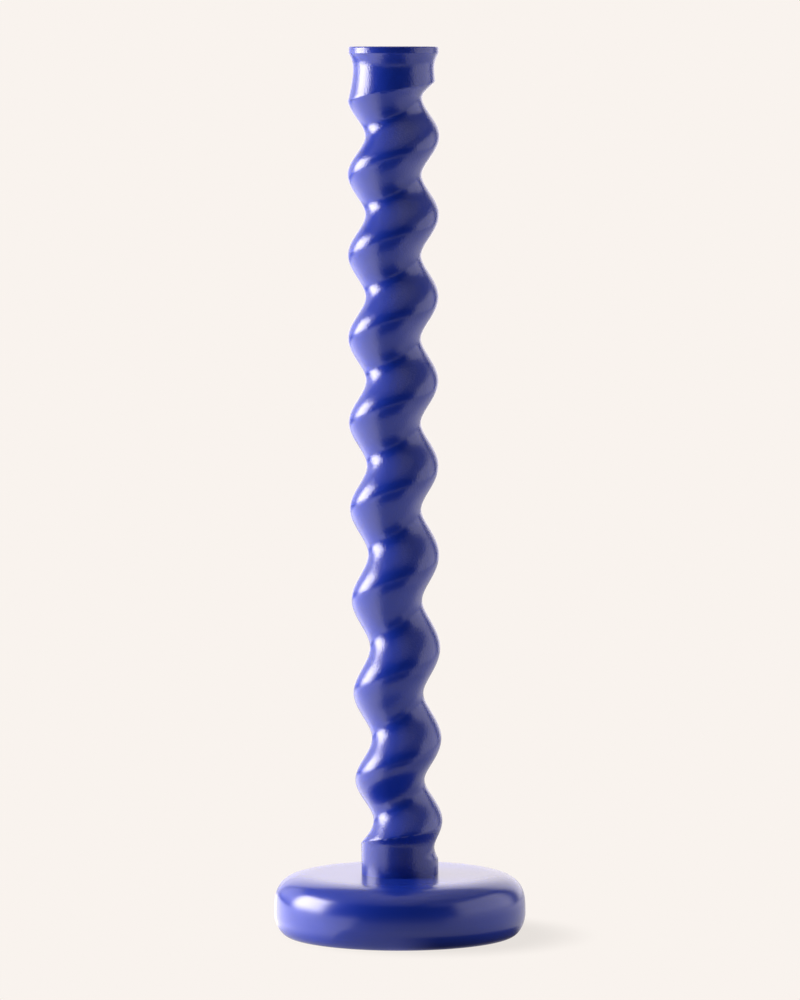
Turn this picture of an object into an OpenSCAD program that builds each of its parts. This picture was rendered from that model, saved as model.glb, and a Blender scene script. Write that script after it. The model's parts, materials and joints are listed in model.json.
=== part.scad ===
// Barley-twist candlestick: a lacquered wooden stem with one spiral groove,
// bolted to a thick round base, with a metal candle cup let into its rim.
// The origin is on the table under the centre of the base, and +Z is up.

/* [Overall] */
// Height from the table to the rim
total_h = 450; // [380:1:520]

/* [Base] */
// Diameter of the base at its widest
base_d = 127.4; // [110:0.2:160]
// Height of the base's top face above the table
base_t = 31.6; // [29:0.2:44]
// Height of the widest line of the base above its underside
base_belly_h = 11.2; // [9:0.2:13]
// Diameter of the part of the top that is quite flat
base_top_d = 80; // [60:1:90]
// Diameter on which the underside is flat
base_foot_d = 114; // [100:1:116]
// Squareness of the base's upper edge
base_top_squareness = 3.2; // [2:0.1:5]
// Squareness of the base's lower edge
base_foot_squareness = 1.8; // [1.5:0.1:3]

/* [Stem] */
// Diameter over the ridge at the foot of the twist
ridge_d_foot = 43.5; // [41:0.1:52]
// Diameter over the ridge at the top of the twist
ridge_d_top = 46.5; // [44:0.1:56]
// Depth of the spiral groove
groove_depth = 8.8; // [3:0.1:9.4]
// Turns of the groove between the base and the rim
twist_turns = 9.86; // [4:0.01:14]
// Turn at which the groove starts
twist_start = 0.21; // [0:0.005:1]
// How far the pitch opens in the lower half, in degrees of twist
pitch_swing = 50; // [0:1:60]
// Second, smaller swing of the pitch, in degrees of twist
pitch_ripple = 10; // [0:1:20]
// Height over which the groove runs in from the stem's foot
groove_run_in = 23; // [15:0.5:40]
// Depth below the rim at which the groove is at its full depth
groove_run_out = 25; // [22:0.5:45]
// How far the stem sways to the left by the time it reaches the rim
sway = 3.2; // [0:0.1:6]
// How much further left the stem bows at half its height
bow = 0.8; // [0:0.1:2]

/* [Foot and collar] */
// Diameter of the plain round foot of the stem
stem_foot_d = 39; // [36:0.2:48]
// Height of the plain foot before the ridge stands out of it
stem_foot_h = 15.4; // [8:0.2:30]
// Height over which the ridge swells out above the foot
foot_swell = 12; // [4:0.5:20]
// Diameter of the lip
lip_d = 45.2; // [43:0.2:56]
// Height of the lip's upright wall
lip_h = 3.4; // [2:0.1:8]
// Diameter of the neck under the lip
neck_d = 40.8; // [39:0.2:52]
// Depth of the neck below the rim
neck_depth = 11; // [8:0.1:20]
// Depth below the rim at which the body has swelled out from the neck
neck_swell = 38; // [20:1:50]
// Radius on the lip's top edge
lip_round = 0.8; // [0.2:0.1:1.5]

/* [Candle cup] */
// Diameter of the candle
candle_d = 22; // [18:0.1:23]
// Gap all round the candle
candle_gap = 0.3; // [0.1:0.05:0.5]
// Depth of the socket
socket_depth = 20; // [14:0.5:24]
// Thickness of the cup's wall
cup_wall = 1; // [0.6:0.1:1.2]
// Thickness of the cup's floor
cup_floor = 2.2; // [2:0.1:3]
// Diameter of the cup's flange
cup_flange_d = 33; // [28:0.2:36]
// Thickness of the cup's flange
cup_flange_t = 1; // [0.6:0.1:1.5]
// How far the flange lies below the rim
cup_set_down = 0.2; // [0:0.05:0.5]

/* [Cup screw] */
// Diameter of the screw's thread
screw_d = 3.5; // [3:0.1:4]
// Length of the screw
screw_len = 16; // [12:1:20]

/* [Fixing bolt] */
// Diameter of the bolt's thread
bolt_d = 8; // [6:0.5:10]
// Length of the bolt under its head
bolt_len = 30; // [26:1:40]
// Size of the hexagon across its flats
hex_af = 13; // [10:0.5:16]
// Height of the bolt's head
hex_h = 5.3; // [4:0.1:6.4]
// Pitch of the bolt's thread
thread_pitch = 1.25; // [1:0.05:1.5]
// Outer diameter of the flat washer
washer_d = 18; // [15:0.5:22]
// Thickness of the flat washer
washer_t = 1.6; // [1:0.1:2]
// Outer diameter of the spring washer
spring_washer_d = 14.8; // [12:0.2:18]
// Thickness of the spring washer
spring_washer_t = 2; // [1.2:0.1:2.5]
// Outer diameter of the threaded insert
insert_d = 12.6; // [11:0.2:15]
// Length of the threaded insert
insert_len = 18; // [12:1:22]

/* [Tenon and pad] */
// Diameter of the stem's tenon
tenon_d = 24; // [20:0.5:28]
// Depth of the mortise in the base
mortise_depth = 12; // [8:0.5:13]
// Thickness of the felt pad
felt_t = 1.5; // [1:0.1:3]
// How far the felt is let into the base
felt_recess = 1; // [0.5:0.1:1]
// Diameter of the felt pad
felt_d = 100; // [80:1:104]

/* [Clearances] */
// Gap between a wooden hole and what is glued or driven into it
wood_gap = 0.1; // [0.05:0.05:0.3]
// Gap round the bolt in the base
bolt_gap = 0.5; // [0.2:0.1:1]
// Gap left at the blind end of a hole
end_gap = 0.5; // [0.2:0.1:1]

/* [Hidden] */

lacquer = "#1f2792";
brass = "#c9a553";
zinc = "#b9bcc0";
felt = "#22242c";

// Facets of the twisted surface
sides = 48;
body_rings = 108;
collar_rings = 10;
round_steps = 20;
$fn = 96;

// Heights above the table
base_bottom = felt_t - felt_recess;
counterbore_roof = felt_t + hex_h + spring_washer_t + washer_t + end_gap;
mortise_floor = base_t - mortise_depth;
tenon_end = mortise_floor + end_gap;
washer_z = counterbore_roof - washer_t;
spring_washer_z = washer_z - spring_washer_t;
flange_top = total_h - cup_set_down;
socket_floor = flange_top - socket_depth;
cup_bottom = socket_floor - cup_floor;

stem_h = total_h - base_t;
socket_r = candle_d / 2 + candle_gap;
cup_r = socket_r + cup_wall;
counterbore_r = washer_d / 2 + 2;
point_len = 4;          // length of the screw's point
screw_head_h = 1.8;     // depth of the countersunk head
mouth_chamfer = 0.5;    // chamfer at the cup's mouth
tenon_root = 3;         // how far the tenon's solid runs up into the foot
insert_flank = 0.8;     // depth of the insert's coarse thread
wood_pitch = 2;         // pitch of the screw's and the insert's coarse thread

// Smooth step from 0 to 1 as x goes from a to b
function ramp(a, b, x) =
    let (t = min(1, max(0, (x - a) / (b - a)))) t * t * (3 - 2 * t);
function mix(a, b, t) = a + (b - a) * t;

// ---- The twisted stem, as a turned blank with one groove cut round it ----
// z is the height above the base's top, and a is the angle round the stem.

// Sideways place of the stem's axis: it sways, and is upright again at the rim
function axis_x(z) = -sway * sin(90 * z / stem_h) - bow * sin(180 * z / stem_h) ^ 2;
rim_x = axis_x(stem_h);

// Angle at which the ridge stands, at height z
function ridge_angle(z) =
    let (s = z / stem_h)
    360 * (twist_start + twist_turns * s)
    + pitch_swing * sin(360 * s + 45) + pitch_ripple * sin(720 * s);

// Radius over the ridge
function ridge_r(z) = mix(ridge_d_foot, ridge_d_top, z / stem_h) / 2;

// Depth of the groove: it runs in from the foot, and out under the neck
function groove(z, a) =
    groove_depth * (1 - cos(ridge_angle(z) - a)) / 2
    * ramp(0, groove_run_in, z) * ramp(neck_depth, groove_run_out, stem_h - z);

// Radius of the turned blank: foot, body, neck, cove and lip
function edge_drop(h) = h >= lip_round ? 0
    : lip_round - sqrt(lip_round ^ 2 - (lip_round - h) ^ 2);
function collar_r(h) = h < lip_h ? lip_d / 2 - edge_drop(h)
    : h < neck_depth ? mix(neck_d, lip_d, ((neck_depth - h) / (neck_depth - lip_h)) ^ 2) / 2
    : mix(neck_d / 2, ridge_d_top / 2 + 1, ramp(neck_depth, neck_swell, h));
function foot_r(z) =
    mix(stem_foot_d / 2, ridge_r(z) + 1, ramp(stem_foot_h, stem_foot_h + foot_swell, z));

function stem_r(z, a) =
    z > stem_h - neck_depth ? collar_r(stem_h - z)
    : min(foot_r(z), collar_r(stem_h - z), ridge_r(z) - groove(z, a));

stem_levels = concat(
    [for (i = [0 : body_rings - 1]) i * (stem_h - neck_depth) / body_rings],
    [for (i = [0 : collar_rings - 1]) stem_h - mix(neck_depth, lip_h, i / collar_rings)],
    [for (h = [lip_h, lip_h - 0.6, lip_round, 0.3 * lip_round, 0]) stem_h - h]);

module twisted_body() {
    rings = len(stem_levels);
    points = [for (z = stem_levels, i = [0 : sides - 1])
        let (a = 360 * i / sides, r = stem_r(z, a))
        [axis_x(z) + r * cos(a), r * sin(a), z]];
    walls = [for (k = [0 : rings - 2], i = [0 : sides - 1])
        let (j = (i + 1) % sides, low = k * sides, up = low + sides)
        each [[low + i, up + j, low + j], [low + i, up + i, up + j]]];
    caps = [[for (i = [0 : sides - 1]) i],
            [for (i = [sides - 1 : -1 : 0]) (rings - 1) * sides + i]];
    polyhedron(points, concat(walls, caps), convexity = 10);
}

module stem() {
    color(lacquer)
    difference() {
        union() {
            translate([0, 0, base_t]) twisted_body();
            translate([0, 0, tenon_end])
                cylinder(h = base_t - tenon_end + tenon_root, d = tenon_d);
        }
        // Seat of the candle cup and its screw
        translate([rim_x, 0, total_h - cup_set_down - cup_flange_t])
            cylinder(h = cup_flange_t + 1, d = cup_flange_d + 2 * wood_gap);
        translate([rim_x, 0, cup_bottom - wood_gap])
            cylinder(h = total_h - cup_bottom, r = cup_r + wood_gap);
        translate([rim_x, 0, socket_floor - screw_len - end_gap])
            cylinder(h = screw_len, d = screw_d + 2 * wood_gap);
        // Bore of the threaded insert, and room for the bolt's end beyond it
        translate([0, 0, tenon_end - 1])
            cylinder(h = insert_len + 1, d = insert_d + 2 * wood_gap);
        translate([0, 0, tenon_end])
            cylinder(h = max(insert_len, spring_washer_z + bolt_len - tenon_end) + end_gap,
                     d = bolt_d + 2 * bolt_gap);
    }
}

// ---- The base ----

// A quarter of a squared-off circle, from its widest point to its flat
function quarter(r_flat, r_wide, z, h, squareness, from, to) =
    [for (i = [0 : round_steps])
        let (t = mix(from, to, i / round_steps))
        [r_flat + (r_wide - r_flat) * cos(t) ^ (2 / squareness),
         z + h * sin(t) ^ (2 / squareness)]];

module base() {
    belly_z = base_bottom + base_belly_h;
    under = quarter(base_foot_d / 2, base_d / 2, 0, base_belly_h,
                    base_foot_squareness, 90, 0);
    over = quarter(base_top_d / 2, base_d / 2, belly_z, base_t - belly_z,
                   base_top_squareness, 0, 90);
    outline = concat([[0, base_bottom]], [for (p = under) [p.x, belly_z - p.y]],
                     [for (i = [1 : round_steps]) over[i]], [[0, base_t]]);
    color(lacquer)
    difference() {
        rotate_extrude() polygon(outline);
        // Mortise for the stem's tenon
        translate([0, 0, mortise_floor])
            cylinder(h = mortise_depth + 1, d = tenon_d + 2 * wood_gap);
        // Bolt hole, counterbore and the felt's recess, from below
        cylinder(h = base_t, d = bolt_d + 2 * bolt_gap);
        cylinder(h = counterbore_roof, r = counterbore_r);
        translate([0, 0, base_bottom - 1])
            cylinder(h = felt_recess + 1, d = felt_d + 2 * wood_gap);
    }
}

module felt_pad() {
    edge = felt_t / 4;
    color(felt)
    rotate_extrude()
        polygon([[0, 0], [felt_d / 2 - edge, 0], [felt_d / 2, edge],
                 [felt_d / 2, felt_t], [0, felt_t]]);
}

// ---- The candle cup and its screw ----

module candle_cup() {
    color(brass)
    translate([rim_x, 0, 0])
    rotate_extrude()
        polygon([
            [screw_d / 2 + wood_gap, cup_bottom],
            [cup_r, cup_bottom],
            [cup_r, flange_top - cup_flange_t],
            [cup_flange_d / 2, flange_top - cup_flange_t],
            [cup_flange_d / 2, flange_top - cup_flange_t / 2],
            [cup_flange_d / 2 - cup_flange_t / 2, flange_top],
            [socket_r + mouth_chamfer, flange_top],
            [socket_r, flange_top - mouth_chamfer],
            [socket_r, socket_floor],
            [screw_d + wood_gap, socket_floor],
            [screw_d / 2 + wood_gap, socket_floor - screw_head_h]
        ]);
}

// Points of a ring-grooved thread going up from z, n rings of one pitch
function thread(r, flank, pitch, z, n) =
    [for (i = [0 : n - 1])
        each [[r, z + i * pitch], [r, z + (i + 0.25) * pitch],
              [r - flank, z + (i + 0.6) * pitch], [r, z + (i + 0.95) * pitch]]];

module cup_screw() {
    top = socket_floor;
    tip = top - screw_len;
    rings = floor((screw_len - screw_head_h - point_len) / wood_pitch);
    color(zinc)
    translate([rim_x, 0, 0])
    difference() {
        rotate_extrude()
            polygon(concat(
                [[0, tip], [screw_d / 4, tip + point_len / 2]],
                thread(screw_d / 2, 0.4, wood_pitch, tip + point_len, rings),
                [[screw_d / 2, top - screw_head_h], [screw_d, top], [0, top]]));
        // Cross recess
        for (a = [0, 90])
            translate([0, 0, top]) rotate([0, 0, a])
                cube([screw_d, 0.8, 2], center = true);
    }
}

// ---- The bolt and what it clamps ----

module threaded_insert() {
    rings = floor((insert_len - 2) / wood_pitch);
    bore_r = bolt_d / 2 + 0.05;
    top = tenon_end + insert_len;
    color(brass)
    rotate_extrude()
        polygon(concat(
            [[bore_r, tenon_end], [insert_d / 2, tenon_end]],
            thread(insert_d / 2, insert_flank, wood_pitch, tenon_end + 1, rings),
            [[insert_d / 2, top - 0.6], [insert_d / 2 - 0.6, top], [bore_r, top]]));
}

module fixing_bolt() {
    under_head = spring_washer_z;
    hex_r = hex_af / sqrt(3);
    end = under_head + bolt_len;
    rings = floor(0.6 * bolt_len / thread_pitch);
    color(zinc) {
        intersection() {
            translate([0, 0, under_head - hex_h]) cylinder(h = hex_h, r = hex_r, $fn = 6);
            translate([0, 0, under_head - hex_h])
                cylinder(h = hex_h + 2, r1 = hex_af / 2, r2 = hex_af / 2 + 12);
        }
        rotate_extrude()
            polygon(concat(
                [[0, under_head - 1], [bolt_d / 2, under_head - 1]],
                thread(bolt_d / 2, 0.6, thread_pitch, end - 1 - rings * thread_pitch, rings),
                [[bolt_d / 2, end - 1], [bolt_d / 2 - 0.8, end], [0, end]]));
    }
}

module flat_washer() {
    color(zinc)
    translate([0, 0, washer_z])
    difference() {
        cylinder(h = washer_t, d = washer_d);
        translate([0, 0, -1]) cylinder(h = washer_t + 2, d = bolt_d + bolt_gap);
    }
}

module spring_washer() {
    split = 10;  // degrees of the gap
    inner = (bolt_d + bolt_gap) / 2;
    color(zinc)
    translate([0, 0, spring_washer_z])
    rotate([0, 0, split / 2])
    rotate_extrude(angle = 360 - split)
        translate([inner, 0]) square([spring_washer_d / 2 - inner, spring_washer_t]);
}

base();
stem();
candle_cup();
cup_screw();
threaded_insert();
fixing_bolt();
flat_washer();
spring_washer();
felt_pad();
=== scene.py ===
"""A tall twisted candlestick in ultramarine lacquer, on a pale studio table.

The sizes below are in metres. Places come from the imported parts, and each section makes
one piece of the candlestick in the order in which it is put together."""
import json
import math

import bmesh
import bpy
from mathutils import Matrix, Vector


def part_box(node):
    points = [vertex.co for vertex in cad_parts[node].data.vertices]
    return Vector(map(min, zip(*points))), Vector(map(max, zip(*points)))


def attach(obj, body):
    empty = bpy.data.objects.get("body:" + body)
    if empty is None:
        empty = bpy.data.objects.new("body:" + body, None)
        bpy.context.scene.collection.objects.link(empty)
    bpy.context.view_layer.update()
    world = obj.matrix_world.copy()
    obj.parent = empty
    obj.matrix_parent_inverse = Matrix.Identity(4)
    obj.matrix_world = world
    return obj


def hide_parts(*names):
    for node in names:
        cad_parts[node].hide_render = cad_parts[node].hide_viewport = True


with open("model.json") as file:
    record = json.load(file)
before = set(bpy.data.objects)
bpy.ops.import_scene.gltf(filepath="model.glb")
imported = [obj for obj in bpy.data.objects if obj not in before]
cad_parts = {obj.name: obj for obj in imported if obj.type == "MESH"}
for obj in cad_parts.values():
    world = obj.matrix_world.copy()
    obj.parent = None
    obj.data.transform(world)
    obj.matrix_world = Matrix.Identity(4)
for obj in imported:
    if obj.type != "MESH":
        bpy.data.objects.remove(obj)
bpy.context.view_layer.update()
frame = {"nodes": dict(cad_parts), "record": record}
scene = bpy.context.scene
MM = 0.001

# ---- Camera ----
# A long lens, level with the rim and tipped down a little, so that the top of the base
# shows as a narrow ellipse and the rim as a straight line.
CAMERA_DISTANCE = 3.047
CAMERA_HEIGHT = 0.4533
CAMERA_TIP = math.radians(4.35)
CAMERA_LENS = 217.8

camera_data = bpy.data.cameras.new("camera")
camera_data.lens = CAMERA_LENS
camera_data.sensor_width = 36
camera_data.clip_end = 50
camera = bpy.data.objects.new("camera", camera_data)
camera.location = (0, -CAMERA_DISTANCE, CAMERA_HEIGHT)
camera.rotation_euler = (math.pi / 2 - CAMERA_TIP, 0, 0)
scene.collection.objects.link(camera)
scene.camera = camera

# ---- Stem ----
# A beech blank, turned with a foot, a neck and a lip, and cut with one spiral groove on a
# carving lathe. It is sprayed with glossy lacquer, which leaves a fine orange peel.
BASE_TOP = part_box("base")[1].z
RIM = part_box("stem")[1].z
STEM_HEIGHT = RIM - BASE_TOP
RIM_X = (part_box("candle_cup")[0].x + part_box("candle_cup")[1].x) / 2
TWIST = {
    "Base top": BASE_TOP,
    "Stem height": STEM_HEIGHT,
    "Sway": -RIM_X,
    "Bow": 0.8 * MM,
    "Start turn": 0.21,
    "Turns": 9.86,
    "Pitch swing": math.radians(50),
    "Pitch ripple": math.radians(10),
    "Ridge radius at foot": 21.75 * MM,
    "Ridge radius at rim": 23.25 * MM,
    "Groove depth": 8.8 * MM,
    "Groove run-in": 23 * MM,
    "Groove run-out": 25 * MM,
    "Foot radius": 19.5 * MM,
    "Foot height": 15.4 * MM,
    "Foot swell": 12 * MM,
    "Neck radius": 20.4 * MM,
    "Neck depth": 11 * MM,
    "Neck swell": 38 * MM,
    "Lip radius": 22.6 * MM,
    "Lip height": 3.4 * MM,
    "Lip edge": 0.8 * MM,
}
SWING_START = math.pi / 4   # where the pitch's slow swing starts at the foot
PAST_RIDGE = 1 * MM         # how far outside the ridge the turned swells run
STEM_SIDES = 150
STEM_RINGS = 580
BODY_SHARE = 0.9            # share of the rings that lies below the neck
MERGE_GAP = 1e-6            # joins the rolled sheet's seam and the turned ends
CORNER_STEPS = 5
SHARP_ANGLE = math.radians(32)
WOOD_GAP = 0.1 * MM         # between the wood and what is fitted into it
END_ROOM = 0.5 * MM         # below the screw's point and above the insert
ULTRAMARINE = (0.003, 0.020, 0.24)
ULTRAMARINE_DEEP = (0.002, 0.015, 0.20)
LACQUER_IOR = 1.5
COLOUR_COAT_LEVEL = 0.045   # the colour coat under the film reflects little
FILM_WEIGHT = 0.85
CLOUD_SCALE = 28            # the scales are in cells to the metre
HAZE_SCALE = 90
PORE_SCALE = 1700
PORE_STRETCH = (1, 1, 0.3)  # pores run along the grain, which is upright in the stem
PEEL_SCALE = 1250
PEEL_STRETCH = (1, 1, 0.7)  # the lacquer sags a little before it sets


def rounded(corners):
    """An outline of (r, z, corner radius), with each corner of a radius made an arc."""
    outline = []
    for i, (r, z, radius) in enumerate(corners):
        if not radius:
            outline.append((r, z))
            continue
        before, after = corners[i - 1], corners[(i + 1) % len(corners)]
        to_before = (before[0] - r, before[1] - z)
        to_after = (after[0] - r, after[1] - z)
        start = [c * radius / math.hypot(*to_before) for c in to_before]
        end = [c * radius / math.hypot(*to_after) for c in to_after]
        for k in range(CORNER_STEPS + 1):
            t = k / CORNER_STEPS
            outline.append((r + (1 - t) ** 2 * start[0] + t ** 2 * end[0],
                            z + (1 - t) ** 2 * start[1] + t ** 2 * end[1]))
    return outline


def turn(mesh, outline, sides, centre_x=0.0, closed=False):
    """Adds the outline to the bmesh, turned about an upright axis. A point at r = 0 is a pole."""
    rings = []
    for r, z in outline:
        if r == 0:
            rings.append([mesh.verts.new((centre_x, 0, z))] * sides)
            continue
        angles = [math.tau * i / sides for i in range(sides)]
        rings.append([mesh.verts.new((centre_x + r * math.cos(a), r * math.sin(a), z))
                      for a in angles])
    pairs = list(zip(rings, rings[1:]))
    if closed:
        pairs.append((rings[-1], rings[0]))
    for low, high in pairs:
        for i in range(sides):
            j = (i + 1) % sides
            corners = list(dict.fromkeys((low[i], low[j], high[j], high[i])))
            mesh.faces.new(corners)


def made_object(name, mesh, *materials):
    """The bmesh as an object of that name in the scene, with those materials."""
    data = bpy.data.meshes.new(name)
    mesh.to_mesh(data)
    mesh.free()
    for material in materials:
        data.materials.append(material)
    made = bpy.data.objects.new(name, data)
    scene.collection.objects.link(made)
    return made


def finished(name, mesh, material):
    """The bmesh as a smooth-shaded piece, with its faces outwards and its edges crisp."""
    bmesh.ops.recalc_face_normals(mesh, faces=mesh.faces)
    for face in mesh.faces:
        face.smooth = True
    for edge in mesh.edges:
        joined = len(edge.link_faces) == 2
        edge.smooth = joined and edge.calc_face_angle() < SHARP_ANGLE
    return made_object(name, mesh, material)


def new_material(name):
    """A new material, with its tree and its Principled shader."""
    material = bpy.data.materials.new(name)
    material.use_nodes = True
    tree = material.node_tree
    return material, tree, tree.nodes["Principled BSDF"]


def noise(tree, scale, detail, stretch=(1, 1, 1)):
    """The value of a noise texture on the piece's own coordinates, stretched along an axis."""
    place = tree.nodes.new("ShaderNodeTexCoord")
    mapping = tree.nodes.new("ShaderNodeMapping")
    mapping.inputs["Scale"].default_value = stretch
    texture = tree.nodes.new("ShaderNodeTexNoise")
    texture.inputs["Scale"].default_value = scale
    texture.inputs["Detail"].default_value = detail
    tree.links.new(place.outputs["Object"], mapping.inputs["Vector"])
    tree.links.new(mapping.outputs["Vector"], texture.inputs["Vector"])
    return texture.outputs["Fac"]


def blend_colours(tree, factor, low, high):
    """A colour between low and high."""
    mix = tree.nodes.new("ShaderNodeMix")
    mix.data_type = "RGBA"
    mix.inputs["A"].default_value = (*low, 1)
    mix.inputs["B"].default_value = (*high, 1)
    tree.links.new(factor, mix.inputs["Factor"])
    return mix.outputs["Result"]


def between(tree, value, low, high):
    """value, from 0 to 1, laid out between low and high."""
    spread = tree.nodes.new("ShaderNodeMapRange")
    spread.inputs["To Min"].default_value = low
    spread.inputs["To Max"].default_value = high
    tree.links.new(value, spread.inputs["Value"])
    return spread.outputs["Result"]


def bump(tree, height, depth, under=None):
    """A bump of that depth in metres, over another bump if one is given."""
    node = tree.nodes.new("ShaderNodeBump")
    node.inputs["Distance"].default_value = depth
    tree.links.new(height, node.inputs["Height"])
    if under is not None:
        tree.links.new(under, node.inputs["Normal"])
    return node.outputs["Normal"]


def lacquer(name, gloss, haze, peel_depth, grain_depth):
    """Sprayed lacquer: deep blue, with orange peel over a trace of the wood's pores.

    A clear film lies over a hazier colour coat. gloss is the film's roughness and haze the
    lowest and highest of the coat's. The depths are in metres."""
    material, tree, shader = new_material(name)
    cloud = noise(tree, CLOUD_SCALE, detail=3)
    colour = blend_colours(tree, cloud, ULTRAMARINE_DEEP, ULTRAMARINE)
    tree.links.new(colour, shader.inputs["Base Color"])
    tree.links.new(between(tree, noise(tree, HAZE_SCALE, detail=4), *haze),
                   shader.inputs["Roughness"])
    shader.inputs["IOR"].default_value = LACQUER_IOR
    shader.inputs["Specular IOR Level"].default_value = COLOUR_COAT_LEVEL
    shader.inputs["Coat Weight"].default_value = FILM_WEIGHT
    shader.inputs["Coat Roughness"].default_value = gloss
    shader.inputs["Coat IOR"].default_value = LACQUER_IOR
    pores = noise(tree, PORE_SCALE, detail=2, stretch=PORE_STRETCH)
    peel = noise(tree, PEEL_SCALE, detail=2, stretch=PEEL_STRETCH)
    surface = bump(tree, peel, peel_depth, under=bump(tree, pores, grain_depth))
    tree.links.new(surface, shader.inputs["Normal"])
    tree.links.new(surface, shader.inputs["Coat Normal"])
    return material


class Sums:
    """Writes sums into a node tree: each call adds one node and returns its output."""

    def __init__(self, tree):
        self.tree = tree

    def put(self, node, values):
        """Gives a node its inputs in order, each a number or another node's output."""
        for socket, value in zip(node.inputs, values):
            if isinstance(value, (int, float)):
                socket.default_value = value
            else:
                self.tree.links.new(value, socket)

    def __call__(self, operation, *values):
        node = self.tree.nodes.new("ShaderNodeMath")
        node.operation = operation
        self.put(node, values)
        return node.outputs[0]

    def ramp(self, value, start, end, low=0.0, high=1.0, way="SMOOTHSTEP"):
        """low where value is at start, high where it is at end, and a ramp between."""
        node = self.tree.nodes.new("ShaderNodeMapRange")
        node.interpolation_type = way
        self.put(node, (value, start, end, low, high))
        return node.outputs["Result"]


def twist_tree(material):
    """The spiral surface from the foot to the lip, joined to the turned ends it is given."""
    tree = bpy.data.node_groups.new("twisted_stem", "GeometryNodeTree")
    face = tree.interface
    face.new_socket("Turned ends", in_out="INPUT", socket_type="NodeSocketGeometry")
    for name, value in TWIST.items():
        socket = face.new_socket(name, in_out="INPUT", socket_type="NodeSocketFloat")
        socket.default_value = value
    for name, value in (("Sides", STEM_SIDES), ("Rings", STEM_RINGS)):
        socket = face.new_socket(name, in_out="INPUT", socket_type="NodeSocketInt")
        socket.default_value = value
    face.new_socket("Stem", in_out="OUTPUT", socket_type="NodeSocketGeometry")
    nodes, links = tree.nodes, tree.links
    given = nodes.new("NodeGroupInput").outputs
    do = Sums(tree)

    # A flat sheet, 1 wide and 1 tall about its middle, stands for one turn and the height
    sheet = nodes.new("GeometryNodeMeshGrid")
    links.new(do("ADD", given["Sides"], 1), sheet.inputs["Vertices X"])
    links.new(given["Rings"], sheet.inputs["Vertices Y"])
    where = nodes.new("ShaderNodeSeparateXYZ")
    links.new(nodes.new("GeometryNodeInputPosition").outputs[0], where.inputs[0])
    around = do("MULTIPLY", do("ADD", where.outputs["X"], 0.5), math.tau)
    share = do("ADD", where.outputs["Y"], 0.5)
    height = given["Stem height"]
    body_height = do("SUBTRACT", height, given["Neck depth"])
    up = do("ADD",
            do.ramp(share, 0, BODY_SHARE, 0, body_height, way="LINEAR"),
            do.ramp(share, BODY_SHARE, 1, 0, given["Neck depth"], way="LINEAR"))
    down = do("SUBTRACT", height, up)
    part = do("DIVIDE", up, height)

    # Where the ridge stands at each height: the pitch opens and closes a little
    turns = do("MULTIPLY_ADD", given["Turns"], part, given["Start turn"])
    turned = do("MULTIPLY", turns, math.tau)
    swing = do("SINE", do("MULTIPLY_ADD", part, math.tau, SWING_START))
    ripple = do("SINE", do("MULTIPLY", part, 2 * math.tau))
    angle = do("MULTIPLY_ADD", given["Pitch swing"], swing, turned)
    angle = do("MULTIPLY_ADD", given["Pitch ripple"], ripple, angle)

    # The groove, which runs in above the foot and out under the neck
    wave = do("COSINE", do("SUBTRACT", angle, around))
    cut = do("MULTIPLY", do("SUBTRACT", 1, wave), do("MULTIPLY", given["Groove depth"], 0.5))
    cut = do("MULTIPLY", cut, do.ramp(up, 0, given["Groove run-in"]))
    cut = do("MULTIPLY", cut, do.ramp(down, given["Neck depth"], given["Groove run-out"]))
    ridge = do.ramp(part, 0, 1, given["Ridge radius at foot"], given["Ridge radius at rim"],
                    way="LINEAR")
    body = do("SUBTRACT", ridge, cut)

    # The turned blank round it: foot, then neck, cove and lip
    swell_end = do("ADD", given["Foot height"], given["Foot swell"])
    foot = do.ramp(up, given["Foot height"], swell_end, given["Foot radius"],
                   do("ADD", ridge, PAST_RIDGE))
    cove = do.ramp(down, given["Neck depth"], given["Lip height"], way="LINEAR")
    collar = do("MULTIPLY_ADD", do("SUBTRACT", given["Lip radius"], given["Neck radius"]),
                do("POWER", cove, 2), given["Neck radius"])
    swell_top = do("ADD", given["Ridge radius at rim"], PAST_RIDGE)
    swell = do.ramp(down, given["Neck depth"], given["Neck swell"], 0,
                    do("SUBTRACT", swell_top, given["Neck radius"]))
    into_edge = do("MAXIMUM", 0, do("SUBTRACT", given["Lip edge"], down))
    edge_arc = do("SQRT", do("SUBTRACT", do("POWER", given["Lip edge"], 2),
                             do("POWER", into_edge, 2)))
    collar = do("ADD", collar, do("SUBTRACT", do("ADD", swell, edge_arc), given["Lip edge"]))
    radius = do("MINIMUM", do("MINIMUM", foot, collar), body)

    # The sheet is rolled up round the stem's swaying axis
    sway = do("MULTIPLY", given["Sway"], do("SINE", do("MULTIPLY", part, math.pi / 2)))
    middle = do("POWER", do("SINE", do("MULTIPLY", part, math.pi)), 2)
    sway = do("MULTIPLY_ADD", given["Bow"], middle, sway)
    rolled = nodes.new("ShaderNodeCombineXYZ")
    links.new(do("SUBTRACT", do("MULTIPLY", radius, do("COSINE", around)), sway),
              rolled.inputs["X"])
    links.new(do("MULTIPLY", radius, do("SINE", around)), rolled.inputs["Y"])
    links.new(do("ADD", given["Base top"], up), rolled.inputs["Z"])
    roll = nodes.new("GeometryNodeSetPosition")
    links.new(sheet.outputs["Mesh"], roll.inputs["Geometry"])
    links.new(rolled.outputs[0], roll.inputs["Position"])

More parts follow.
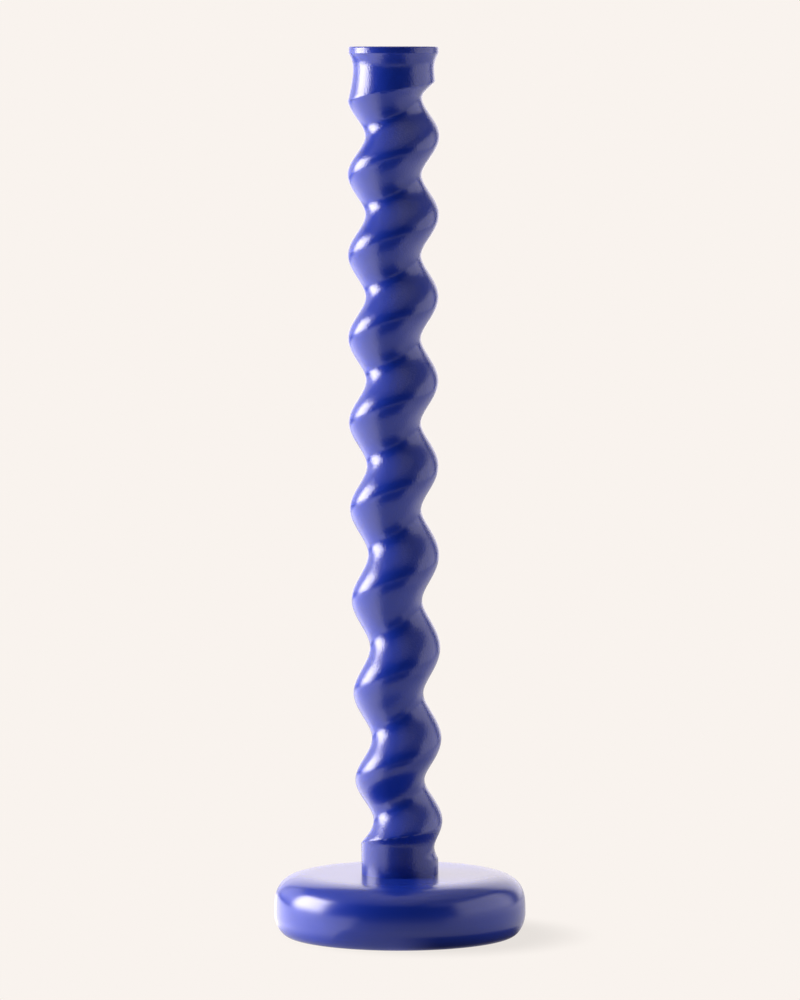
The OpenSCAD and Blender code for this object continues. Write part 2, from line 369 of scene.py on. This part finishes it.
    join = nodes.new("GeometryNodeJoinGeometry")
    links.new(roll.outputs[0], join.inputs[0])
    links.new(given["Turned ends"], join.inputs[0])
    merge = nodes.new("GeometryNodeMergeByDistance")
    merge.inputs["Distance"].default_value = MERGE_GAP
    links.new(join.outputs[0], merge.inputs["Geometry"])
    real = nodes.new("GeometryNodeRealizeInstances")
    links.new(merge.outputs[0], real.inputs[0])
    paint = nodes.new("GeometryNodeSetMaterial")
    paint.inputs["Material"].default_value = material
    links.new(real.outputs[0], paint.inputs["Geometry"])
    links.new(paint.outputs[0], nodes.new("NodeGroupOutput").inputs[0])
    return tree


TENON_RADIUS = 12 * MM
TENON_END = 20.1 * MM
INSERT_RADIUS = 6.3 * MM
INSERT_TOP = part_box("threaded_insert")[1].z
BOLT_ROOM = 4.5 * MM
FLANGE_RADIUS = (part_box("candle_cup")[1].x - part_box("candle_cup")[0].x) / 2
CUP_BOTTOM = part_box("candle_cup")[0].z
CUP_RADIUS = 12.3 * MM
SEAT_DEPTH = 1.2 * MM
PILOT_RADIUS = 1.85 * MM

stem_lacquer = lacquer("stem_lacquer", gloss=0.19, haze=(0.42, 0.50),
                       peel_depth=0.10 * MM, grain_depth=0.05 * MM)
ends = bmesh.new()
turn(ends, rounded([
    (TWIST["Foot radius"], BASE_TOP, 0),
    (TENON_RADIUS, BASE_TOP, 0),
    (TENON_RADIUS, TENON_END, 0.8 * MM),
    (INSERT_RADIUS + WOOD_GAP, TENON_END, 0),
    (INSERT_RADIUS + WOOD_GAP, INSERT_TOP, 0),
    (BOLT_ROOM, INSERT_TOP, 0),
    (BOLT_ROOM, INSERT_TOP + END_ROOM, 0),
    (0, INSERT_TOP + END_ROOM, 0),
]), STEM_SIDES)
turn(ends, rounded([
    (TWIST["Lip radius"] - TWIST["Lip edge"], RIM, 0),
    (FLANGE_RADIUS + WOOD_GAP, RIM, 0.25 * MM),
    (FLANGE_RADIUS + WOOD_GAP, RIM - SEAT_DEPTH, 0),
    (CUP_RADIUS + WOOD_GAP, RIM - SEAT_DEPTH, 0),
    (CUP_RADIUS + WOOD_GAP, CUP_BOTTOM - WOOD_GAP, 0),
    (PILOT_RADIUS, CUP_BOTTOM - WOOD_GAP, 0),
    (PILOT_RADIUS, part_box("cup_screw")[0].z - END_ROOM, 0),
    (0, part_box("cup_screw")[0].z - END_ROOM, 0),
]), STEM_SIDES, RIM_X)
blank = made_object("stem_blank", ends)
carve = blank.modifiers.new("twist", "NODES")
carve.node_group = twist_tree(stem_lacquer)
for item in carve.node_group.interface.items_tree:
    if item.in_out == "INPUT" and item.name in TWIST:
        carve[item.identifier] = TWIST[item.name]
bpy.context.view_layer.update()
carved = bpy.data.meshes.new_from_object(
    blank.evaluated_get(bpy.context.evaluated_depsgraph_get()))
carved_mesh = bmesh.new()
carved_mesh.from_mesh(carved)
bpy.data.objects.remove(blank)
bpy.data.meshes.remove(carved)
twisted_stem = finished("twisted_stem", carved_mesh, stem_lacquer)
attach(twisted_stem, "root")
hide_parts("stem")

# ---- Base ----
# A thick beech disc with a fully rounded side, turned in one setting and sprayed a little
# flatter than the stem. It is mortised for the stem and counterbored from below.
BASE_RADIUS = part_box("base")[1].x
BASE_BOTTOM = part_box("base")[0].z
BELLY = BASE_BOTTOM + 11.2 * MM   # height at which the side stands upright
TOP_FLAT = 40 * MM
FOOT_FLAT = 57 * MM
TOP_SQUARENESS = 3.2              # 2 is a true ellipse
FOOT_SQUARENESS = 1.8
ARC_STEPS = 40
BASE_SIDES = 240
MORTISE_FLOOR = 19.6 * MM
FELT_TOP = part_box("felt_pad")[1].z
FELT_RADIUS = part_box("felt_pad")[1].x
COUNTERBORE_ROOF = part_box("flat_washer")[1].z
COUNTERBORE_RADIUS = 11 * MM


def quarter(flat, height, squareness, first, last):
    """A quarter of a squared-off ellipse between a flat and the belly."""
    points = []
    for i in range(ARC_STEPS + 1):
        a = first + (last - first) * i / ARC_STEPS
        out, up = max(0, math.cos(a)), max(0, math.sin(a))
        points.append((flat + (BASE_RADIUS - flat) * out ** (2 / squareness),
                       BELLY + height * up ** (2 / squareness)))
    return points


base_lacquer = lacquer("base_lacquer", gloss=0.21, haze=(0.46, 0.54),
                       peel_depth=0.02 * MM, grain_depth=0.01 * MM)
disc = bmesh.new()
upper = quarter(TOP_FLAT, BASE_TOP - BELLY, TOP_SQUARENESS, math.pi / 2, 0)
lower = quarter(FOOT_FLAT, BASE_BOTTOM - BELLY, FOOT_SQUARENESS, 0, math.pi / 2)
mortise = rounded([
    (BOLT_ROOM, MORTISE_FLOOR, 0),
    (TENON_RADIUS + WOOD_GAP, MORTISE_FLOOR, 0),
    (TENON_RADIUS + WOOD_GAP, BASE_TOP, 0),
])
underside = rounded([
    (FELT_RADIUS + WOOD_GAP, BASE_BOTTOM, 0.3 * MM),
    (FELT_RADIUS + WOOD_GAP, FELT_TOP, 0),
    (COUNTERBORE_RADIUS, FELT_TOP, 0.5 * MM),
    (COUNTERBORE_RADIUS, COUNTERBORE_ROOF, 0),
    (BOLT_ROOM, COUNTERBORE_ROOF, 0.4 * MM),
])
turn(disc, mortise + upper + lower[1:] + underside, BASE_SIDES, closed=True)
round_base = finished("round_base", disc, base_lacquer)
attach(round_base, "root")
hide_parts("base")

# ---- Candle cup and screw ----
# A brass cup, turned from bar and let into the rim, keeps the flame off the wood. A
# countersunk screw through its floor holds it down.
SOCKET_RADIUS = frame["record"]["mounts"][0]["dims"]["r_mm"] * MM
FLANGE_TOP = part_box("candle_cup")[1].z
SOCKET_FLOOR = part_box("cup_screw")[1].z
FLANGE_THICKNESS = 1 * MM
SCREW_HOLE = 1.85 * MM
SCREW_HEAD = 3.6 * MM
HEAD_DEPTH = 1.8 * MM
CUP_SIDES = 128
BRASS_COLOUR = (0.72, 0.50, 0.19)
ZINC_COLOUR = (0.56, 0.57, 0.60)
TARNISH = 0.82                    # the darker patches' share of the colour
TARNISH_SCALE = 220
ROUGHNESS_SPREAD = 0.06
TURNING_SCALE = 3000
TURNING_STRETCH = (0.08, 0.08, 1)  # draws the marks out level round the axis


def turned_metal(name, colour, roughness, mark_depth):
    """Metal with faint tarnish and the fine marks of a lathe tool, of that depth in metres."""
    material, tree, shader = new_material(name)
    patches = noise(tree, TARNISH_SCALE, detail=4)
    tarnished = tuple(c * TARNISH for c in colour)
    tree.links.new(blend_colours(tree, patches, tarnished, colour),
                   shader.inputs["Base Color"])
    shader.inputs["Metallic"].default_value = 1
    tree.links.new(between(tree, patches, roughness - ROUGHNESS_SPREAD,
                           roughness + ROUGHNESS_SPREAD), shader.inputs["Roughness"])
    marks = noise(tree, TURNING_SCALE, detail=1, stretch=TURNING_STRETCH)
    tree.links.new(bump(tree, marks, mark_depth), shader.inputs["Normal"])
    return material


brass = turned_metal("turned_brass", BRASS_COLOUR, roughness=0.26, mark_depth=0.006 * MM)
zinc = turned_metal("zinc_plate", ZINC_COLOUR, roughness=0.34, mark_depth=0.003 * MM)
shell = bmesh.new()
turn(shell, rounded([
    (SCREW_HOLE, CUP_BOTTOM, 0),
    (CUP_RADIUS, CUP_BOTTOM, 0.4 * MM),
    (CUP_RADIUS, FLANGE_TOP - FLANGE_THICKNESS, 0),
    (FLANGE_RADIUS, FLANGE_TOP - FLANGE_THICKNESS, 0.2 * MM),
    (FLANGE_RADIUS, FLANGE_TOP, 0.6 * MM),
    (SOCKET_RADIUS, FLANGE_TOP, 0.5 * MM),
    (SOCKET_RADIUS, SOCKET_FLOOR, 0.3 * MM),
    (SCREW_HEAD, SOCKET_FLOOR, 0.1 * MM),
    (SCREW_HOLE, SOCKET_FLOOR - HEAD_DEPTH, 0),
]), CUP_SIDES, RIM_X, closed=True)
socket_cup = finished("socket_cup", shell, brass)
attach(socket_cup, "root")
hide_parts("candle_cup")

# ---- Screw, insert, bolt and washers ----
# Bought-in fixings: zinc-plated steel, and a brass insert driven into the tenon. None of
# them shows once the felt is on.
for node, metal in (("cup_screw", zinc), ("threaded_insert", brass), ("fixing_bolt", zinc),
                    ("flat_washer", zinc), ("spring_washer", zinc)):
    fixing = frame["nodes"][node]
    fixing.data.materials.clear()
    fixing.data.materials.append(metal)

# ---- Felt pad ----
# A die-cut disc of dark pressed wool felt, glued into a shallow recess so that it stands
# just proud of the wood and covers the bolt.
FELT_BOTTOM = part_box("felt_pad")[0].z
FELT_MIDDLE = FELT_RADIUS * 0.5   # a ring half way in
FELT_SIDES = 160
FELT_DARK = (0.012, 0.013, 0.018)
FELT_PALE = (0.05, 0.052, 0.06)
FIBRE_SCALE = 2600
FIBRE_DEPTH = 0.15 * MM

felt, felt_tree, felt_shader = new_material("wool_felt")
fibres = noise(felt_tree, FIBRE_SCALE, detail=6)
felt_tree.links.new(blend_colours(felt_tree, fibres, FELT_DARK, FELT_PALE),
                    felt_shader.inputs["Base Color"])
felt_shader.inputs["Roughness"].default_value = 0.95
felt_shader.inputs["Sheen Weight"].default_value = 0.4
felt_tree.links.new(bump(felt_tree, fibres, FIBRE_DEPTH), felt_shader.inputs["Normal"])
pad = bmesh.new()
turn(pad, rounded([
    (0, FELT_BOTTOM, 0),
    (FELT_MIDDLE, FELT_BOTTOM, 0),
    (FELT_RADIUS, FELT_BOTTOM, 0.5 * MM),
    (FELT_RADIUS, FELT_TOP, 0.2 * MM),
    (FELT_MIDDLE, FELT_TOP, 0),
    (0, FELT_TOP, 0),
]), FELT_SIDES)
felt_disc = finished("felt_disc", pad, felt)
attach(felt_disc, "root")
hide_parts("felt_pad")

# ---- Studio ----
# A pale table that runs out into an even cream backdrop, in a dark room. A tall softbox
# stands on the left, weaker panels at the right and behind, and boards lie on the table:
# white ones at both sides, a dark one in front and a dark strip beside the base.
CREAM = (0.9473, 0.8963, 0.8550)
WARM_WHITE = (1.0, 0.935, 0.95)
TABLE_RADIUS = 6.0
TABLE_SIDES = 96
TABLE_LEVEL = 0.9             # the table's brightness at a board's soft edges
TABLE_DROP = 0.2 * MM         # keeps the table clear of the felt's face
BOARD_HEIGHT = 0.3 * MM
BOARD_STEPS = 24
PAINTED_SHADOW_SIDE = 20 * MM         # how far right of the base's middle the painted shadow on the table lies
PAINTED_SHADOW_DEPTH = 0.16           # the share of the table's glow that the painted shadow takes away
PAINTED_SHADOW_FADE = (46 * MM, 84 * MM)  # the painted shadow is full inside the first radius, gone at the second


def light_material(name, colour):
    """A material that only gives light, with its tree and its emission shader."""
    material = bpy.data.materials.new(name)
    material.use_nodes = True
    tree = material.node_tree
    light = tree.nodes.new("ShaderNodeEmission")
    light.inputs["Color"].default_value = (*colour, 1)
    tree.links.new(light.outputs[0], tree.nodes["Material Output"].inputs["Surface"])
    return material, tree, light


def own_place(tree):
    """The X, Y and Z of a point on the object, in the object's own coordinates."""
    place = tree.nodes.new("ShaderNodeSeparateXYZ")
    tree.links.new(tree.nodes.new("ShaderNodeTexCoord").outputs["Object"], place.inputs[0])
    return place.outputs["X"], place.outputs["Y"], place.outputs["Z"]


def fade(do, off_middle, half, soft):
    """1 at the middle and 0 at half, with the drop over the share of half given as soft."""
    return do.ramp(do("ABSOLUTE", off_middle), half, half * (1 - soft))


def panel(name, azimuth, distance, low, high, width, strength, soft):
    """An upright lit panel facing the stem, which shows in reflections but not directly.

    Azimuth 0 is the camera's side and 90 the right. The strength is its radiance at the
    middle, which falls off to nothing over the share of its half-width given as soft."""
    material, tree, light = light_material(name, WARM_WHITE)
    do = Sums(tree)
    x, _, z = own_place(tree)
    half_width, half_height = width / 2, (high - low) / 2
    inside = do("MULTIPLY", fade(do, x, half_width, soft), fade(do, z, half_height, soft))
    tree.links.new(do("MULTIPLY", inside, strength), light.inputs["Strength"])
    mesh = bmesh.new()
    mesh.faces.new([mesh.verts.new((across * half_width, 0, up * half_height))
                    for across, up in ((-1, -1), (1, -1), (1, 1), (-1, 1))])
    item = made_object(name, mesh, material)
    a = math.radians(azimuth)
    item.location = (distance * math.sin(a), -distance * math.cos(a), (low + high) / 2)
    item.rotation_euler = (0, 0, a)
    item.visible_camera = False


def board(name, start, end, near, far, strength, soft):
    """A board on the table, from one azimuth to another. It isn't seen directly.

    It has its strength at the middle and goes over into TABLE_LEVEL at its edges, over the
    share of its half-width given as soft."""
    material, tree, light = light_material(name, WARM_WHITE)
    do = Sums(tree)
    x, y, _ = own_place(tree)
    first, last = math.radians(start), math.radians(end)
    bearing = do("ARCTAN2", x, do("MULTIPLY", y, -1))
    out = do("SQRT", do("ADD", do("MULTIPLY", x, x), do("MULTIPLY", y, y)))
    side = fade(do, do("SUBTRACT", bearing, (first + last) / 2), (last - first) / 2, soft)
    depth = fade(do, do("SUBTRACT", out, (near + far) / 2), (far - near) / 2, soft)
    tree.links.new(do("MULTIPLY_ADD", do("MULTIPLY", side, depth), strength - TABLE_LEVEL,
                      TABLE_LEVEL), light.inputs["Strength"])
    mesh = bmesh.new()
    rows = []
    for i in range(BOARD_STEPS + 1):
        a = first + (last - first) * i / BOARD_STEPS
        rows.append([mesh.verts.new((r * math.sin(a), -r * math.cos(a), BOARD_HEIGHT))
                     for r in (near, far)])
    for one, two in zip(rows, rows[1:]):
        mesh.faces.new((one[0], one[1], two[1], two[0]))
    item = made_object(name, mesh, material)
    item.visible_camera = False


# Name, azimuth, distance, bottom, top, width, strength and soft share of each panel
for upright in (("softbox", -94, 1.30, -0.10, 1.12, 1.25, 21.0, 0.55),
                ("softbox_spill", -135, 1.45, 0.0, 1.20, 0.95, 1.8, 0.5),
                ("right_panel", 90, 1.35, -0.15, 1.35, 2.40, 2.2, 0.4),
                ("right_bounce", 65, 1.60, 0.95, 2.35, 2.8, 0.5, 0.4),
                ("backdrop_light", 180, 1.60, -0.2, 1.60, 2.9, 1.9, 0.3)):
    panel(*upright)
# Name, first and last azimuth, near and far edge, strength and soft share of each board
for lying in (("left_board", -155, -35, 0.060, 1.25, 2.9, 0.03),
              ("right_board", 40, 144, 0.20, 1.25, 1.4, 0.15),
              ("front_board", -40, 40, 0.18, 1.3, 0.12, 0.15),
              # contact_shade is painted shade: a dark strip where the base meets the table,
              # darkening the base's lower edge in reflections
              ("contact_shade", -6, 104, 0.056, 0.075, 0.10, 0.5)):
    board(*lying)

world = bpy.data.worlds.new("cream_surround")
world.use_nodes = True
world.node_tree.nodes["Background"].inputs["Color"].default_value = (*CREAM, 1)
world.node_tree.nodes["Background"].inputs["Strength"].default_value = 1.0
scene.world = world

# The dark room: walls and a ceiling, which aren't seen directly either
ROOM_RADIUS = 2.9
ROOM_HEIGHT = 2.4
ROOM_SIDES = 48
ROOM_GREY = (0.03, 0.03, 0.033)
CEILING_GLOW = 0.10
room_material, _, room_shader = new_material("dark_room")
ceiling_material, _, ceiling_shader = new_material("dim_ceiling")
ceiling_shader.inputs["Emission Color"].default_value = (*WARM_WHITE, 1)
ceiling_shader.inputs["Emission Strength"].default_value = CEILING_GLOW
room_shader.inputs["Base Color"].default_value = (*ROOM_GREY, 1)
room_shader.inputs["Roughness"].default_value = 1
room_mesh = bmesh.new()
corner_angles = [math.tau * i / ROOM_SIDES for i in range(ROOM_SIDES)]
low_ring, high_ring = [
    [room_mesh.verts.new((ROOM_RADIUS * math.cos(a), ROOM_RADIUS * math.sin(a), z))
     for a in corner_angles] for z in (0, ROOM_HEIGHT)]
for i in range(ROOM_SIDES):
    room_mesh.faces.new((low_ring[i - 1], low_ring[i], high_ring[i], high_ring[i - 1]))
room_mesh.faces.new(high_ring).material_index = 1
room = made_object("dark_room", room_mesh, room_material, ceiling_material)
room.visible_camera = False

# The table glows evenly, but for a painted shadow to the right of the base
table_material, table_tree, glow = light_material("cream_table", CREAM)
place = table_tree.nodes.new("ShaderNodeTexCoord")
beside = table_tree.nodes.new("ShaderNodeVectorMath")
beside.operation = "SUBTRACT"
beside.inputs[1].default_value = (PAINTED_SHADOW_SIDE, 0, 0)
reach = table_tree.nodes.new("ShaderNodeVectorMath")
reach.operation = "LENGTH"
table_tree.links.new(place.outputs["Object"], beside.inputs[0])
table_tree.links.new(beside.outputs[0], reach.inputs[0])
# painted shadow: the table's glow is dimmed near the base, most on its right
shade = Sums(table_tree).ramp(reach.outputs["Value"], *PAINTED_SHADOW_FADE, 1 - PAINTED_SHADOW_DEPTH, 1)
table_tree.links.new(shade, glow.inputs["Strength"])
table_mesh = bmesh.new()
bmesh.ops.create_circle(table_mesh, cap_ends=True, segments=TABLE_SIDES, radius=TABLE_RADIUS)
table = made_object("table", table_mesh, table_material)
table.location.z = -TABLE_DROP

scene.view_settings.view_transform = "Standard"
